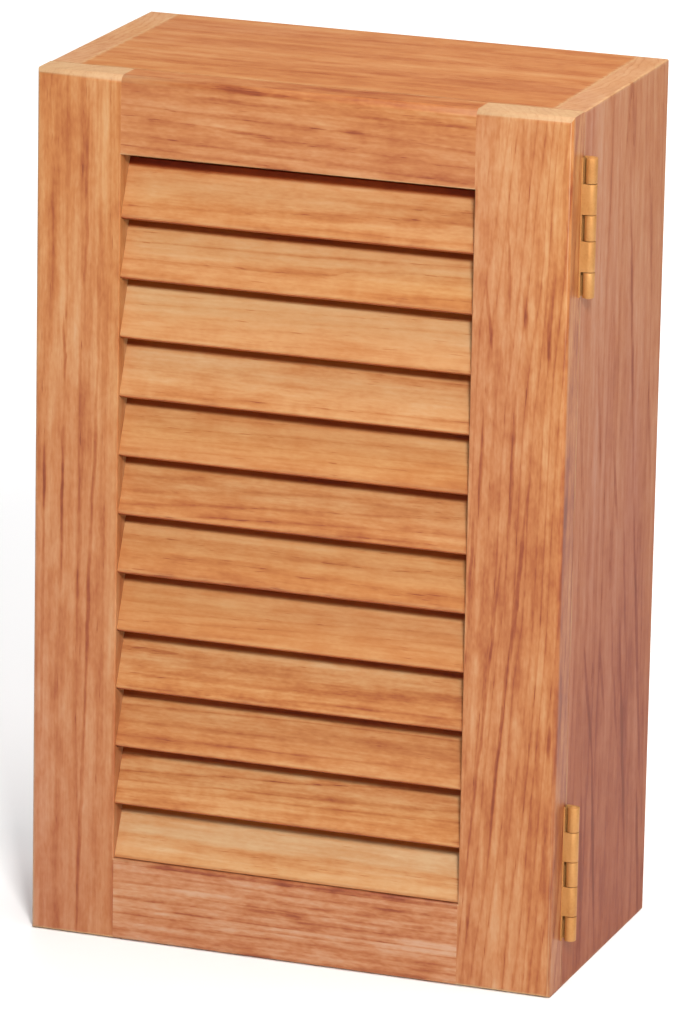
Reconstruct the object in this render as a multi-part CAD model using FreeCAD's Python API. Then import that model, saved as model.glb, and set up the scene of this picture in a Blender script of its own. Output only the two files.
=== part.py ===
import FreeCAD, Part
import math
import os

# A small hanging cabinet in teak. One louvred door covers the whole front and hangs on two
# brass butt hinges at the right. Sizes are in millimetres. X runs to the right, Y to the
# back and Z up. The origin is under the middle of the case, on the floor; the door stands
# before the case, on its -Y side.

os.makedirs("parts", exist_ok=True)
touch = 0.01  # two places nearer than this are the same place
V = FreeCAD.Vector
ALONG_X = V(1, 0, 0)
TO_BACK = V(0, 1, 0)
UP = V(0, 0, 1)

# Case boards
case_width = 280.0
case_height = 450.0
case_depth = 135.0
board_thickness = 16.0
case_edge_round = 0.8

# Back panel, let into a rebate and screwed on from behind
back_thickness = 6.0
back_lap = 8.0
back_fit = 0.3
back_screw_length = 16.0
back_screw_end_margin = 34.0
back_screws_per_side = 4
back_screw_spacing = 90.0

# Dowels between the sides and the top and bottom boards
dowel_diameter = 6.0
dowel_in_side = 9.0
dowel_in_board = 18.0
dowel_end_gap = 1.0
dowel_fit = 0.05
dowel_margin = 20.0
dowels_per_joint = 3

# Rails inside the back, which the cabinet is hung by
mounting_rail_height = 30.0
mounting_rail_thickness = 12.0
mounting_hole_diameter = 5.0
mounting_hole_spacing = 180.0

# Shelves on brass pegs
shelf_count = 2
shelf_thickness = 10.0
shelf_side_gap = 0.5
shelf_back_gap = 0.5
shelf_setback = 4.0
peg_diameter = 5.0
peg_in_side = 8.0
peg_fit = 0.05
peg_from_shelf_edge = 22.0
tongue_length = 8.0
tongue_width = 7.0
tongue_thickness = 2.0

# Door frame: its stile on the hinge side is a little wider than the closing one
door_thickness = 18.0
door_gap = 0.6
door_floor_gap = 0.5
closing_stile_width = 45.0
hinge_stile_width = 49.5
top_rail_width = 40.0
bottom_rail_width = 42.8
door_top_round = 3.8
door_side_round = 2.4
door_bottom_round = 1.6
opening_edge_round = 1.0
tenon_thickness = 6.0
tenon_length = 25.0
tenon_shoulder = 6.0
tenon_fit = 0.1
tenon_end_gap = 1.0

# Louvre slats, housed in the stiles
slat_count = 12
slat_thickness = 5.0
slat_front_recess = 1.4
slat_back_recess = 0.4
slat_rail_gap = 0.4
slat_set_down = 1.6
slat_drop = 4.4
slat_edge_round = 0.8
slat_housing_depth = 6.0
slat_fit = 0.1

# Butt hinges
hinge_length = 70.0
upper_hinge_from_top = 22.5
lower_hinge_from_floor = 26.0
leaf_thickness = 1.5
leaf_width = 17.5
leaf_fit = 0.1
pin_diameter = 2.9
pin_fit = 0.05
pin_head_diameter = 4.4
pin_head_height = 0.8
barrel_stand_off = 1.2
door_knuckle_length = 15.3
knuckle_gap = 0.3
knuckle_relief = 0.5
leaf_screw_count = 3
leaf_screw_pitch = 23.0
leaf_screw_from_edge = 6.5
leaf_screw_length = 12.0

# Countersunk brass wood screws
screw_diameter = 3.0
screw_head_diameter = 5.6
screw_point_length = 3.0
screw_tip_diameter = 0.6
screw_slot_width = 0.7
screw_slot_depth = 0.6

# Magnetic catch inside the left side, and its strike plate on the door
catch_depth = 16.0
catch_height = 26.0
catch_thickness = 13.0
catch_ear_height = 10.0
catch_ear_thickness = 3.0
catch_pole_proud = 0.6
catch_screw_length = 12.0
magnet_depth = 9.0
magnet_height = 20.0
magnet_thickness = 4.0
pole_thickness = 1.2
strike_thickness = 1.2
strike_width = 12.0
strike_height = 38.0
strike_screw_pitch = 26.0
strike_screw_length = 10.0
strike_gap = 0.3

# Places that follow from the sizes
half_width = case_width / 2
inner_half_width = half_width - board_thickness
case_front = -case_depth / 2
case_back = case_depth / 2
back_panel_front = case_back - back_thickness
top_board_under = case_height - board_thickness
door_back = case_front - door_gap
door_front = door_back - door_thickness
opening_edge = {-1: closing_stile_width - half_width, 1: half_width - hinge_stile_width}
opening_top = case_height - top_rail_width
opening_bottom = door_floor_gap + bottom_rail_width
barrel_radius = pin_diameter / 2 + pin_fit + leaf_thickness
hinge_x = half_width + barrel_stand_off + barrel_radius
hinge_y = case_front - door_gap / 2
lower_hinge_z = lower_hinge_from_floor
upper_hinge_z = case_height - upper_hinge_from_top - hinge_length
case_knuckle_length = (hinge_length - 2 * door_knuckle_length - 4 * knuckle_gap) / 3


def block(x, y, z):
    """A box from three pairs of limits, in either order."""
    low = V(min(x), min(y), min(z))
    return Part.makeBox(abs(x[1] - x[0]), abs(y[1] - y[0]), abs(z[1] - z[0]), low)


def evenly(first, last, count):
    """Places from first to last, evenly spaced."""
    step = (last - first) / (count - 1)
    return [first + step * i for i in range(count)]


def save(shape, node):
    """Writes a piece, or a group of like pieces, as its bare solids."""
    solids = shape.Solids
    shape = solids[0] if len(solids) == 1 else Part.makeCompound(solids)
    shape.exportStep(f"parts/{node}.step")


# ---------------------------------------------------------------- screws

def screw_blank(head, along, length):
    """Wood screw without its slot: the middle of its flat head, and the way it points."""
    sink = (screw_head_diameter - screw_diameter) / 2
    neck = head + along * sink
    shoulder = head + along * (length - screw_point_length)
    cone = Part.makeCone(screw_head_diameter / 2, screw_diameter / 2, sink, head, along)
    shank = Part.makeCylinder(screw_diameter / 2, length - screw_point_length - sink, neck, along)
    point = Part.makeCone(screw_diameter / 2, screw_tip_diameter / 2, screw_point_length, shoulder, along)
    return cone.fuse([shank, point])


def screw(head, along, length):
    """The screw itself, with an upright slot in its head."""
    across = along.cross(UP) * (screw_slot_width / 2)
    reach = UP * screw_head_diameter
    deep = along * screw_slot_depth
    low = head - across - reach - deep
    high = head + across + reach + deep
    slot = block((low.x, high.x), (low.y, high.y), (low.z, high.z))
    return screw_blank(head, along, length).cut(slot)


def drill(shape, screws):
    """Takes the holes of (head, along, length) screws out of a shape."""
    for head, along, length in screws:
        shape = shape.cut(screw_blank(head, along, length))
    return shape


def screw_group(screws):
    return Part.makeCompound([screw(*one) for one in screws])


# ---------------------------------------------------------------- case boards

def case_envelope():
    """The outside of the case, its edges eased except where the door closes on it."""
    solid = block((-half_width, half_width), (case_front, case_back), (0, case_height))
    eased = [edge for edge in solid.Edges if edge.CenterOfMass.y > case_front + case_edge_round]
    return solid.makeFillet(case_edge_round, eased)


def back_outline(fit):
    """The back panel, or with no fit the rebate it lies in."""
    across = inner_half_width + back_lap - fit
    low = board_thickness - back_lap + fit
    high = top_board_under + back_lap - fit
    return block((-across, across), (back_panel_front, case_back), (low, high))


def dowel(side, y, z, fit, end_gap):
    """One dowel, or with a fit and an end gap its hole."""
    start = side * (inner_half_width - dowel_in_board - end_gap)
    length = dowel_in_board + dowel_in_side + 2 * end_gap
    radius = dowel_diameter / 2 + fit
    return Part.makeCylinder(radius, length, V(start, y, z), ALONG_X * side)


def dowel_places():
    rows = evenly(case_front + dowel_margin, back_panel_front - dowel_margin, dowels_per_joint)
    heights = (board_thickness / 2, case_height - board_thickness / 2)
    return [(side, y, z) for side in (-1, 1) for z in heights for y in rows]


def bore_dowels(board):
    for side, y, z in dowel_places():
        board = board.cut(dowel(side, y, z, dowel_fit, dowel_end_gap))
    return board


def back_screws():
    """Screws through the back panel into the sides, the boards and the mounting rails."""
    side_x = inner_half_width + back_lap / 2
    side_z = evenly(back_screw_end_margin, case_height - back_screw_end_margin, back_screws_per_side)
    board_z = (board_thickness - back_lap / 2, top_board_under + back_lap / 2)
    places = [(side * side_x, z) for side in (-1, 1) for z in side_z]
    places += [(side * back_screw_spacing, z) for side in (-1, 1) for z in board_z]
    places += [(side * back_screw_spacing / 2, z) for side in (-1, 1) for z in mounting_rail_heights()]
    return [(V(x, case_back, z), -TO_BACK, back_screw_length) for x, z in places]


def mounting_rail_heights():
    """Middle heights of the lower and the upper mounting rail."""
    half = mounting_rail_height / 2
    return (board_thickness + half, top_board_under - half)


def mounting_holes(y_from):
    """The four hanging holes, from y_from to the back."""
    holes = []
    for x in (-mounting_hole_spacing / 2, mounting_hole_spacing / 2):
        for z in mounting_rail_heights():
            radius = mounting_hole_diameter / 2
            holes.append(Part.makeCylinder(radius, case_back - y_from, V(x, y_from, z), TO_BACK))
    return holes


def level_board(low):
    """The top or the bottom board, set between the sides."""
    x = (-inner_half_width, inner_half_width)
    board = block(x, (case_front, case_back), (low, low + board_thickness))
    board = board.common(case_envelope()).cut(back_outline(0))
    return drill(bore_dowels(board), back_screws())


def side_board(side):
    """A side of the case. The right one takes the hinges, the left one the catch."""
    board = block((side * inner_half_width, side * half_width), (case_front, case_back), (0, case_height))
    board = board.common(case_envelope()).cut(back_outline(0))
    board = drill(bore_dowels(board), back_screws())
    board = board.cut(peg_holes(side))
    if side < 0:
        return drill(board, catch_screws())
    for z in (lower_hinge_z, upper_hinge_z):
        board = drill(board.cut(leaf_mortise(1, z)), leaf_screws(1, z))
    return board


def back_panel():
    panel = back_outline(back_fit).cut(mounting_holes(back_panel_front))
    return drill(panel, back_screws())


def mounting_rail(middle):
    half = mounting_rail_height / 2
    front = back_panel_front - mounting_rail_thickness
    x = (-inner_half_width, inner_half_width)
    rail = block(x, (front, back_panel_front), (middle - half, middle + half))
    return drill(rail.cut(mounting_holes(front)), back_screws())


# ---------------------------------------------------------------- shelves and pegs

def shelf_undersides():
    """Heights of the shelves' undersides, which part the inside into equal spaces."""
    space = (top_board_under - board_thickness - shelf_count * shelf_thickness) / (shelf_count + 1)
    return [board_thickness + space * (i + 1) + shelf_thickness * i for i in range(shelf_count)]


def shelf(under):
    across = inner_half_width - shelf_side_gap
    depth = (case_front + shelf_setback, back_panel_front - shelf_back_gap)
    return block((-across, across), depth, (under, under + shelf_thickness))


def peg_rows():
    """How far back the front and the rear pegs stand."""
    front = case_front + shelf_setback + peg_from_shelf_edge
    rear = back_panel_front - shelf_back_gap - peg_from_shelf_edge
    return (front, rear)


def peg_shank(side, y, under, fit):
    start = V(side * (inner_half_width - fit), y, under - peg_diameter / 2)
    return Part.makeCylinder(peg_diameter / 2 + fit, peg_in_side + fit, start, ALONG_X * side)


def peg(side, y, under):
    """A brass peg: a round shank in the side and a flat tongue under the shelf."""
    tongue_x = (side * inner_half_width, side * (inner_half_width - tongue_length))
    tongue_y = (y - tongue_width / 2, y + tongue_width / 2)
    tongue = block(tongue_x, tongue_y, (under - tongue_thickness, under))
    return tongue.fuse(peg_shank(side, y, under, 0))


def peg_holes(side):
    return [peg_shank(side, y, z, peg_fit) for y in peg_rows() for z in shelf_undersides()]


def shelf_pegs():
    places = [(side, y, z) for side in (-1, 1) for y in peg_rows() for z in shelf_undersides()]
    return Part.makeCompound([peg(*place) for place in places])


# ---------------------------------------------------------------- door frame

def front_edges(solid):
    """The edges that lie in the face of the door."""
    return [edge for edge in solid.Edges if edge.BoundBox.YMax < door_front + touch]


def is_upright(edge):
    return edge.BoundBox.ZLength > edge.BoundBox.XLength


def door_envelope():
    """The outside of the door and its louvre opening, their front edges rounded over."""
    x = (-half_width, half_width)
    y = (door_front, door_back)
    z = (door_floor_gap, case_height)
    upright = block(x, y, z)
    level = block(x, y, z)
    upright = upright.makeFillet(door_side_round, [edge for edge in front_edges(upright) if is_upright(edge)])
    for height, radius in ((case_height, door_top_round), (door_floor_gap, door_bottom_round)):
        arris = [edge for edge in front_edges(level) if abs(edge.CenterOfMass.z - height) < touch]
        level = level.makeFillet(radius, arris)
    opening = block((opening_edge[-1], opening_edge[1]), y, (opening_bottom, opening_top))
    frame = upright.common(level).cut(opening)
    rim = [edge for edge in front_edges(frame) if opening.BoundBox.isInside(edge.CenterOfMass)]
    return frame.makeFillet(opening_edge_round, rim)


def tenon(side, low, high, fit, end_gap):
    """A rail's tenon, or with a fit and an end gap its mortise in the stile."""
    middle = (door_front + door_back) / 2
    half = tenon_thickness / 2 + fit
    x = (opening_edge[side], opening_edge[side] + side * (tenon_length + end_gap))
    z = (low + tenon_shoulder - fit, high - tenon_shoulder + fit)
    return block(x, (middle - half, middle + half), z)


def rail_limits():
    """Lower and upper edge of the bottom rail and of the top rail."""
    return ((door_floor_gap, opening_bottom), (opening_top, case_height))


def door_rail(low, high):
    rail = block((opening_edge[-1], opening_edge[1]), (door_front, door_back), (low, high))
    rail = rail.common(door_envelope())
    return rail.fuse([tenon(side, low, high, 0, 0) for side in (-1, 1)])


def stile(side):
    """An upright of the door, with its mortises, the slat housings and the hinges' recesses."""
    x = (opening_edge[side], side * half_width)
    upright = block(x, (door_front, door_back), (door_floor_gap, case_height)).common(door_envelope())
    upright = upright.cut([tenon(side, low, high, tenon_fit, tenon_end_gap) for low, high in rail_limits()])
    upright = upright.cut([slat_blank(i, slat_fit) for i in range(1, slat_count + 1)])
    if side < 0:
        return drill(upright, strike_screws())
    for z in (lower_hinge_z, upper_hinge_z):
        upright = drill(upright.cut(leaf_mortise(-1, z)), leaf_screws(-1, z))
    return upright


# ---------------------------------------------------------------- louvre slats

def slat_pitch():
    return (opening_top - opening_bottom - slat_rail_gap) / slat_count


def slat_blank(number, fit):
    """A tilted slat, counted from the top, or with a fit its housing in the stiles.

    The slat's diagonal runs from its lower front edge, near the face of the door, to its
    upper back edge near the back of the door. It reaches up behind the slat above. The
    lowest slat is planed level underneath, clear of the bottom rail.
    """
    run = door_thickness - slat_front_recess - slat_back_recess
    rise = slat_pitch() - slat_drop
    diagonal = math.hypot(run, rise)
    width = math.sqrt(diagonal ** 2 - slat_thickness ** 2)
    tilt = math.degrees(math.atan2(run, rise) - math.atan2(slat_thickness, width))
    in_stile = slat_housing_depth + (fit if fit else -slat_fit)
    ends = [opening_edge[side] + side * in_stile for side in (-1, 1)]
    shape = block(ends, (-fit, slat_thickness + fit), (-fit, width + fit))
    long_edges = [edge for edge in shape.Edges if edge.Length > (ends[1] - ends[0]) / 2]
    shape = shape.makeFillet(slat_edge_round + fit, long_edges)
    shape.rotate(V(0, 0, 0), ALONG_X, -tilt)
    lower_front_z = opening_top - slat_set_down - number * slat_pitch()
    shape.translate(V(0, door_front + slat_front_recess, lower_front_z))
    foot = opening_bottom + slat_rail_gap - fit
    bed = block((-half_width, half_width), (door_front, door_back), (0, foot))
    return shape.cut(bed)


# ---------------------------------------------------------------- hinges

def knuckles(facing):
    """Lower and upper end of each knuckle of a leaf: three on the case's (1), two on the door's (-1)."""
    spans = []
    low = 0.0
    for number in range(5):
        owner = 1 if number % 2 == 0 else -1
        length = case_knuckle_length if owner == 1 else door_knuckle_length
        if owner == facing:
            spans.append((low, low + length))
        low += length + knuckle_gap
    return spans


def knuckle(facing, low, high):
    """A knuckle with the strip of leaf that is rolled into it, about an axis at the origin."""
    outside = facing * barrel_radius
    inside = facing * (barrel_radius - leaf_thickness)
    meet = -math.sqrt(barrel_radius ** 2 - inside ** 2)
    edge_out = V(-leaf_width, outside, low)
    edge_in = V(-leaf_width, inside, low)
    roll_start = V(meet, inside, low)
    roll_end = V(0, outside, low)
    outline = Part.Wire([
        Part.makeLine(edge_out, edge_in),
        Part.makeLine(edge_in, roll_start),
        Part.Arc(roll_start, V(barrel_radius, 0, low), roll_end).toShape(),
        Part.makeLine(roll_end, edge_out),
    ])
    return Part.Face(outline).extrude(UP * (high - low))


def leaf_screws(facing, z):
    """The screws of one leaf, flush with the leaf's inner face."""
    x = hinge_x - leaf_width + leaf_screw_from_edge
    y = hinge_y + facing * (barrel_radius - leaf_thickness)
    reach = leaf_screw_pitch * (leaf_screw_count - 1) / 2
    middle = z + hinge_length / 2
    heights = evenly(middle - reach, middle + reach, leaf_screw_count)
    return [(V(x, y, height), TO_BACK * facing, leaf_screw_length) for height in heights]


def hinge_leaf(facing, z):
    x = (-leaf_width, -barrel_radius - knuckle_relief)
    y = (facing * (barrel_radius - leaf_thickness), facing * barrel_radius)
    plate = block(x, y, (0, hinge_length))
    leaf = plate.fuse([knuckle(facing, low, high) for low, high in knuckles(facing)]).removeSplitter()
    leaf = leaf.cut(Part.makeCylinder(pin_diameter / 2 + pin_fit, hinge_length))
    leaf.translate(V(hinge_x, hinge_y, z))
    return drill(leaf, leaf_screws(facing, z))


def leaf_mortise(facing, z):
    """The recess that a leaf is let into, open at the side of the cabinet."""
    y = (hinge_y, hinge_y + facing * barrel_radius)
    x = (hinge_x - leaf_width - leaf_fit, hinge_x)
    return block(x, y, (z - leaf_fit, z + hinge_length + leaf_fit))


def pin_head(z, up):
    """A low dome on one end of the pin."""
    rim = V(pin_head_diameter / 2, 0, 0)
    crown = V(0, 0, pin_head_height)
    dome_radius = (rim.x ** 2 + crown.z ** 2) / (2 * crown.z)
    lean = math.asin(rim.x / dome_radius) / 2
    middle = V(dome_radius * math.sin(lean), 0, crown.z - dome_radius * (1 - math.cos(lean)))
    outline = Part.Wire([
        Part.makeLine(V(0, 0, 0), rim),
        Part.Arc(rim, middle, crown).toShape(),
        Part.makeLine(crown, V(0, 0, 0)),
    ])
    head = Part.Face(outline).revolve(V(0, 0, 0), UP, 360)
    if not up:
        head.rotate(V(0, 0, 0), ALONG_X, 180)
    head.translate(V(hinge_x, hinge_y, z))
    return head


def hinge_pin(z):
    shank = Part.makeCylinder(pin_diameter / 2, hinge_length, V(hinge_x, hinge_y, z))
    return shank.fuse([pin_head(z + hinge_length, True), pin_head(z, False)])


# ---------------------------------------------------------------- magnetic catch

def catch_place():
    """The middle of the pole faces: in height the middle of the case."""
    x = -inner_half_width + catch_thickness / 2
    return V(x, door_back + strike_thickness + strike_gap, case_height / 2)


def pole_pack(proud, depth):
    """Limits of the magnet and its two poles together, from the pole faces back."""
    place = catch_place()
    half = magnet_thickness / 2 + pole_thickness
    front = place.y + catch_pole_proud - proud
    height = (place.z - magnet_height / 2, place.z + magnet_height / 2)
    return (place.x - half, place.x + half), (front, place.y + catch_pole_proud + depth), height


def catch_body():
    """A moulded block with two screw ears, and a pocket in front for the magnet."""
    place = catch_place()
    depth = (place.y + catch_pole_proud, place.y + catch_pole_proud + catch_depth)
    half = catch_height / 2
    tall = half + catch_ear_height
    inside = -inner_half_width
    core = block((inside, inside + catch_thickness), depth, (place.z - half, place.z + half))
    ears = block((inside, inside + catch_ear_thickness), depth, (place.z - tall, place.z + tall))
    body = core.fuse(ears).removeSplitter().cut(block(*pole_pack(0, magnet_depth)))
    return drill(body, catch_screws())


def catch_magnet():
    place = catch_place()
    _, depth, height = pole_pack(0, magnet_depth)
    half = magnet_thickness / 2
    return block((place.x - half, place.x + half), depth, height)


def catch_pole_plates():
    (left, right), depth, height = pole_pack(catch_pole_proud, magnet_depth)
    plates = [(left, left + pole_thickness), (right - pole_thickness, right)]
    return Part.makeCompound([block(plate, depth, height) for plate in plates])


def catch_screws():
    place = catch_place()
    y = place.y + catch_pole_proud + catch_depth / 2
    x = -inner_half_width + catch_ear_thickness
    offset = (catch_height + catch_ear_height) / 2
    return [(V(x, y, place.z + way * offset), -ALONG_X, catch_screw_length) for way in (-1, 1)]


def strike_screws():
    place = catch_place()
    y = door_back + strike_thickness
    offset = strike_screw_pitch / 2
    return [(V(place.x, y, place.z + way * offset), -TO_BACK, strike_screw_length) for way in (-1, 1)]


def strike_plate():
    place = catch_place()
    x = (place.x - strike_width / 2, place.x + strike_width / 2)
    z = (place.z - strike_height / 2, place.z + strike_height / 2)
    plate = block(x, (door_back, door_back + strike_thickness), z)
    return drill(plate, strike_screws())


# ---------------------------------------------------------------- the cabinet

def build():
    lower_rail, upper_rail = mounting_rail_heights()
    save(side_board(-1), "left_side_board")
    save(side_board(1), "right_side_board")
    save(level_board(top_board_under), "top_board")
    save(level_board(0), "bottom_board")
    save(back_panel(), "back_panel")
    save(mounting_rail(lower_rail), "lower_mounting_rail")
    save(mounting_rail(upper_rail), "upper_mounting_rail")
    save(Part.makeCompound([dowel(*place, 0, 0) for place in dowel_places()]), "carcass_dowels")
    save(screw_group(back_screws()), "back_panel_screws")
    for name, under in zip(("lower_shelf", "upper_shelf"), shelf_undersides()):
        save(shelf(under), name)
    save(shelf_pegs(), "shelf_pegs")

    save(stile(-1), "left_stile")
    save(stile(1), "right_stile")
    for name, limits in zip(("bottom_rail", "top_rail"), rail_limits()):
        save(door_rail(*limits), name)
    for number in range(1, slat_count + 1):
        save(slat_blank(number, 0), f"louvre_slat_{number:02d}")

    for name, z in (("lower", lower_hinge_z), ("upper", upper_hinge_z)):
        save(hinge_leaf(1, z), f"{name}_hinge_case_leaf")
        save(hinge_leaf(-1, z), f"{name}_hinge_door_leaf")
        save(hinge_pin(z), f"{name}_hinge_pin")
    for owner, facing in (("case", 1), ("door", -1)):
        screws = leaf_screws(facing, lower_hinge_z) + leaf_screws(facing, upper_hinge_z)
        save(screw_group(screws), f"{owner}_leaf_screws")

    save(catch_body(), "catch_body")
    save(catch_magnet(), "catch_magnet")
    save(catch_pole_plates(), "catch_pole_plates")
    save(screw_group(catch_screws()), "catch_screws")
    save(strike_plate(), "catch_strike_plate")
    save(screw_group(strike_screws()), "strike_plate_screws")


build()
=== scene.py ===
import math

import bmesh
import bpy
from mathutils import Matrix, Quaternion, Vector


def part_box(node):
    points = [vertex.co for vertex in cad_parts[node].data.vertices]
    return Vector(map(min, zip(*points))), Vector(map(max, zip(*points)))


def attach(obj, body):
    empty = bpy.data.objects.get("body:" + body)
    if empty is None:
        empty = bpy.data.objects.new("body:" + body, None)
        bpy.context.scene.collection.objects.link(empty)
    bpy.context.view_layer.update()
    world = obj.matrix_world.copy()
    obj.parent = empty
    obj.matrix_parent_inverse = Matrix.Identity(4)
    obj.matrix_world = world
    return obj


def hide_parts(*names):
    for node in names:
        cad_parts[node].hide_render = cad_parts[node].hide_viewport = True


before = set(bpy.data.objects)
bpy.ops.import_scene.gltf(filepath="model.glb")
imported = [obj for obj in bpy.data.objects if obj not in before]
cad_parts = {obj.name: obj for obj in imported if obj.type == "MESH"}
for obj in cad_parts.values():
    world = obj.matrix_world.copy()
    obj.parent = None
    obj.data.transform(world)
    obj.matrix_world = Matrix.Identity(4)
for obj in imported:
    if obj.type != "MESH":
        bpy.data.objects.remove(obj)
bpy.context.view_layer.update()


# ---- Camera ------------------------------------------------------------------------------
# A long lens from about 3.6 m, a little above the cabinet and to the hinge side of the
# door. It leans by one degree, so the uprights lean with it.

camera_azimuth = 19.75
camera_elevation = 15.56
camera_roll = math.radians(1.10)
camera_distance = 3.634
camera_aim = (-0.0009, -0.0115, 0.2179)
camera_lens = 251.7
camera_sensor = 36.0
camera_reach = (0.1, 60.0)


def stand_and_aim(name, data, azimuth, elevation, distance, aim, roll=0.0):
    """Stands a camera or lamp off its aim, by degrees round from the door's front and up."""
    azimuth = math.radians(azimuth)
    elevation = math.radians(elevation)
    away = Vector((
        math.sin(azimuth) * math.cos(elevation),
        -math.cos(azimuth) * math.cos(elevation),
        math.sin(elevation),
    ))
    stood = bpy.data.objects.new(name, data)
    stood.location = Vector(aim) + away * distance
    stood.rotation_mode = "QUATERNION"
    stood.rotation_quaternion = (-away).to_track_quat("-Z", "Y") @ Quaternion((0, 0, 1), roll)
    bpy.context.scene.collection.objects.link(stood)
    return stood


lens = bpy.data.cameras.new("camera")
lens.lens = camera_lens
lens.sensor_width = camera_sensor
lens.clip_start, lens.clip_end = camera_reach
bpy.context.scene.camera = stand_and_aim(
    "camera", lens, camera_azimuth, camera_elevation, camera_distance, camera_aim, camera_roll,
)


# ---- Studio ------------------------------------------------------------------------------
# A pale floor with no edge in sight. The main lamp stands before the door, to the hinge side
# and a third of the way up, so each slat throws a narrow shadow on the next. A lamp overhead
# lights the top board, a warm one the hinge side, and a wide one the floor behind.

floor_reach = 14.0
floor_white = (0.95, 0.95, 0.95, 1)
floor_roughness = 0.9
air_colour = (0.95, 0.97, 1.0, 1)
air_strength = 0.2


def new_finish(name):
    """A new material, its node tree, and the sockets of its shader."""
    material = bpy.data.materials.new(name)
    material.use_nodes = True
    return material, material.node_tree, material.node_tree.nodes["Principled BSDF"].inputs


floor_paint, tree, shader = new_finish("floor_paint")
shader["Base Color"].default_value = floor_white
shader["Roughness"].default_value = floor_roughness
floor_mesh = bpy.data.meshes.new("floor")
corners = [(-1, -1), (1, -1), (1, 1), (-1, 1)]
floor_mesh.from_pydata([(x * floor_reach, y * floor_reach, 0) for x, y in corners], [], [(0, 1, 2, 3)])
floor_mesh.materials.append(floor_paint)
floor = bpy.data.objects.new("floor", floor_mesh)
bpy.context.scene.collection.objects.link(floor)


def hang_lamp(name, azimuth, elevation, distance, aim, size, watts, colour):
    """A square soft lamp."""
    lamp = bpy.data.lights.new(name, "AREA")
    lamp.shape = "SQUARE"
    lamp.size = size
    lamp.energy = watts
    lamp.color = colour
    return stand_and_aim(name, lamp, azimuth, elevation, distance, aim)


hang_lamp(
    "main_lamp", azimuth=27, elevation=33.1, distance=3.0, aim=(0, -0.08, 0.22),
    size=0.4, watts=86, colour=(1.0, 0.985, 0.965),
)
hang_lamp(
    "top_lamp", azimuth=10, elevation=78, distance=2.0, aim=(0, 0, 0.45),
    size=1.0, watts=19.5, colour=(1.0, 0.98, 0.96),
)
hang_lamp(
    "side_lamp", azimuth=84, elevation=58, distance=0.8, aim=(0.14, 0, 0.44),
    size=0.4, watts=2.6, colour=(1.0, 0.88, 0.84),
)
floor_lamp = hang_lamp(
    "floor_lamp", azimuth=180, elevation=89, distance=2.2, aim=(0, 2.3, 0),
    size=2.4, watts=75, colour=(1.0, 1.0, 1.0),
)
floor_lamp.visible_glossy = False

studio_air = bpy.data.worlds.new("studio_air")
studio_air.use_nodes = True
studio_air.node_tree.nodes["Background"].inputs["Color"].default_value = air_colour
studio_air.node_tree.nodes["Background"].inputs["Strength"].default_value = air_strength
bpy.context.scene.world = studio_air
bpy.context.scene.view_settings.view_transform = "Standard"


# ---- Side boards -------------------------------------------------------------------------
# The two sides are planed teak boards 16 mm thick, grain upright, oiled and rubbed down.
# Their end grain shows at the top as a paler band. The group "teak" is the timber itself:
# growth rings about a heart line, fibre streaks, and the long open pores of teak.

def feed(tree, socket, source):
    """Joins a socket to another node's output, or gives it a plain value."""
    if isinstance(source, bpy.types.NodeSocket):
        tree.links.new(source, socket)
    else:
        socket.default_value = source


def new_node(tree, kind, sources=None, **settings):
    """Puts a node into a tree, sets its properties, and feeds its sockets."""
    node = tree.nodes.new(kind)
    for setting, value in settings.items():
        setattr(node, setting, value)
    for socket, source in (sources or {}).items():
        feed(tree, node.inputs[socket], source)
    return node


def open_tree(name, kind, asks, gives):
    """A node group and its inputs, each with its kind and usual value, and its outputs."""
    tree = bpy.data.node_groups.new(name, kind)
    for label, socket_kind, usual in asks:
        socket = tree.interface.new_socket(name=label, in_out="INPUT", socket_type="NodeSocket" + socket_kind)
        if usual is not None:
            socket.default_value = usual
    for label, socket_kind in gives:
        tree.interface.new_socket(name=label, in_out="OUTPUT", socket_type="NodeSocket" + socket_kind)
    return tree, new_node(tree, "NodeGroupInput").outputs


def reckon(tree, operation, *values, clamp=False):
    """One step of arithmetic on up to three values."""
    step = new_node(
        tree, "ShaderNodeMath", dict(enumerate(values)), operation=operation, use_clamp=clamp,
    )
    return step.outputs[0]


def fade(tree, value, start, end):
    """0 at start, 1 at end, and a smooth rise between."""
    ends = {"Value": value, "From Min": start, "From Max": end}
    return new_node(tree, "ShaderNodeMapRange", ends, interpolation_type="SMOOTHSTEP").outputs["Result"]


def each_axis(tree, vector):
    """The X, Y and Z of a vector."""
    return new_node(tree, "ShaderNodeSeparateXYZ", {0: vector}).outputs


def vector_of(tree, x, y, z):
    """A vector put together from its X, Y and Z."""
    return new_node(tree, "ShaderNodeCombineXYZ", {0: x, 1: y, 2: z}).outputs[0]


def place_on_piece(tree):
    """Where a point of the piece is, in metres."""
    return new_node(tree, "ShaderNodeTexCoord").outputs["Object"]


def speckle(tree, place, along, across, detail):
    """Noise from 0 to 1, drawn out along the grain: so many waves in a metre each way."""
    stretched = new_node(
        tree, "ShaderNodeVectorMath", {0: place, 1: (along, across, across)}, operation="MULTIPLY",
    )
    noise = new_node(tree, "ShaderNodeTexNoise", {
        "Vector": stretched.outputs[0],
        "Scale": 1.0,
        "Detail": detail,
    })
    return noise.outputs["Fac"]


noise_spread = 3.2


def fibres(tree, place, along, across, detail=1.0):
    """The same noise, spread out to lie between about -1 and 1."""
    centred = reckon(tree, "SUBTRACT", speckle(tree, place, along, across, detail), 0.5)
    return reckon(tree, "MULTIPLY", centred, noise_spread)


def tone_ramp(tree, factor, stops):
    """A colour ramp from a list of (place, colour)."""
    ramp = new_node(tree, "ShaderNodeValToRGB", {"Fac": factor})
    band = ramp.color_ramp
    while len(band.elements) < len(stops):
        band.elements.new(1.0)
    for element, (place, colour) in zip(band.elements, stops):
        element.position = place
        element.color = (*colour, 1)
    return ramp.outputs["Color"]


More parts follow.
